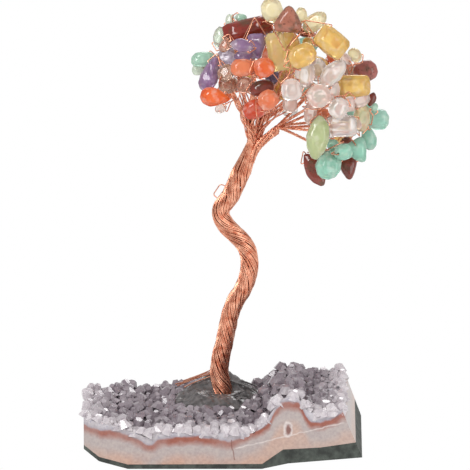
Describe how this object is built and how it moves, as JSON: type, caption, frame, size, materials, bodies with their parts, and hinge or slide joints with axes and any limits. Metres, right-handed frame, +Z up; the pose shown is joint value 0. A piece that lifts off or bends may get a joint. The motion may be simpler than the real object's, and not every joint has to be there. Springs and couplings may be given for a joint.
{
  "type": "gemstone tree ornament",
  "caption": "Table ornament: a twisted copper wire tree whose twigs carry drilled gemstone chips, glued upright on a sawn geode slab with a druse top.",
  "frame": {"origin": "on the table, below the foot of the trunk", "axes": "+X to the right seen from the sawn front, +Y to the back, +Z up"},
  "size_m": [0.1116, 0.0617, 0.172],
  "materials": {
    "banded_agate": "sawn and polished",
    "amethyst": "tumbled and polished",
    "druse": "glassy points",
    "aventurine": "tumbled and polished",
    "brown_jasper": "tumbled and polished",
    "carnelian": "tumbled and polished",
    "clear_quartz": "tumbled and polished",
    "glue": "glossy dark glue",
    "golden_citrine": "tumbled and polished",
    "copper_wire": "bare drawn copper",
    "red_jasper": "tumbled and polished",
    "pale_citrine": "tumbled and polished",
    "quartz_crust": "crystalline",
    "rock_rind": "rough dark rock",
    "rose_quartz": "tumbled and polished"
  },
  "bodies": {
    "tree": {"agate_slab": "banded_agate", "amethyst_chips_back": "amethyst", "amethyst_chips_left": "amethyst", "amethyst_points": "druse", "aventurine_chips_back": "aventurine", "aventurine_chips_left": "aventurine", "aventurine_chips_right": "aventurine", "brown_jasper_chips_middle": "brown_jasper", "carnelian_chips_back": "carnelian", "carnelian_chips_left": "carnelian", "carnelian_chips_right": "carnelian", "clear_quartz_chips_back": "clear_quartz", "clear_quartz_chips_left": "clear_quartz", "clear_quartz_chips_middle": "clear_quartz", "clear_quartz_chips_right": "clear_quartz", "glue_pad": "glue", "golden_citrine_chips_back": "golden_citrine", "golden_citrine_chips_middle": "golden_citrine", "golden_citrine_chips_right": "golden_citrine", "left_boughs": "copper_wire", "left_twig_wires": "copper_wire", "middle_boughs": "copper_wire", "middle_twig_wires": "copper_wire", "pale_citrine_chips_middle": "pale_citrine", "pale_citrine_chips_right": "pale_citrine", "quartz_crust": "quartz_crust", "red_jasper_chips_left": "red_jasper", "red_jasper_chips_middle": "red_jasper", "red_jasper_chips_right": "red_jasper", "right_boughs": "copper_wire", "right_twig_wires": "copper_wire", "rock_rind": "rock_rind", "root_wires": "copper_wire", "rose_quartz_chips_left": "rose_quartz", "rose_quartz_chips_middle": "rose_quartz", "rose_quartz_chips_right": "rose_quartz", "stray_wire_loop": "copper_wire", "trunk_core": "copper_wire", "trunk_strands": "copper_wire"},
    "right_citrine_swing": {"right_citrine_chip": "golden_citrine"},
    "left_carnelian_swing": {"left_carnelian_chip": "carnelian"},
    "left_amethyst_swing": {"left_amethyst_chip": "amethyst"},
    "low_aventurine_swing": {"low_aventurine_chip": "aventurine"},
    "right_jasper_swing": {"right_jasper_chip": "brown_jasper"},
    "upper_citrine_swing": {"upper_citrine_chip": "pale_citrine"},
    "top_citrine_swing": {"top_citrine_chip": "pale_citrine"},
    "right_aventurine_swing": {"right_aventurine_chip": "aventurine"},
    "left_aventurine_swing": {"left_aventurine_chip": "aventurine"},
    "low_jasper_swing": {"low_jasper_chip": "red_jasper"}
  },
  "joints": [
    {"name": "right_citrine_rock", "type": "hinge", "parent": "tree", "child": "right_citrine_swing", "pos_m": [0.03667, -0.01651, 0.15998], "axis": [0.5927, 0.5029, 0.6291], "range_deg": [-15, 15]},
    {"name": "left_carnelian_rock", "type": "hinge", "parent": "tree", "child": "left_carnelian_swing", "pos_m": [0.00026, -0.01621, 0.13614], "axis": [-0.1388, -0.2515, -0.9578], "range_deg": [-15, 15]},
    {"name": "left_amethyst_rock", "type": "hinge", "parent": "tree", "child": "left_amethyst_swing", "pos_m": [-0.00341, -0.00543, 0.14571], "axis": [0.884, -0.4255, -0.1937], "range_deg": [-15, 15]},
    {"name": "low_aventurine_rock", "type": "hinge", "parent": "tree", "child": "low_aventurine_swing", "pos_m": [0.03949, -0.01039, 0.11136], "axis": [0.9083, 0.1346, -0.396], "range_deg": [-15, 15]},
    {"name": "right_jasper_rock", "type": "hinge", "parent": "tree", "child": "right_jasper_swing", "pos_m": [0.04951, -0.00223, 0.14092], "axis": [-0.342, 0.287, 0.8948], "range_deg": [-15, 15]},
    {"name": "upper_citrine_rock", "type": "hinge", "parent": "tree", "child": "upper_citrine_swing", "pos_m": [0.03096, -0.00941, 0.16098], "axis": [-0.6046, 0.4307, 0.6701], "range_deg": [-15, 15]},
    {"name": "top_citrine_rock", "type": "hinge", "parent": "tree", "child": "top_citrine_swing", "pos_m": [0.01887, -0.00954, 0.16488], "axis": [-0.9387, -0.1556, -0.3078], "range_deg": [-15, 15]},
    {"name": "right_aventurine_rock", "type": "hinge", "parent": "tree", "child": "right_aventurine_swing", "pos_m": [0.05374, 0.00115, 0.12212], "axis": [0, 0.1998, 0.9798], "range_deg": [-15, 15]},
    {"name": "left_aventurine_rock", "type": "hinge", "parent": "tree", "child": "left_aventurine_swing", "pos_m": [-0.00471, -0.00007, 0.14601], "axis": [-0.0857, 0.4892, 0.8679], "range_deg": [-15, 15]},
    {"name": "low_jasper_rock", "type": "hinge", "parent": "tree", "child": "low_jasper_swing", "pos_m": [0.04554, -0.00307, 0.10711], "axis": [0.9749, 0.222, 0.0138], "range_deg": [-15, 15]}
  ]
}
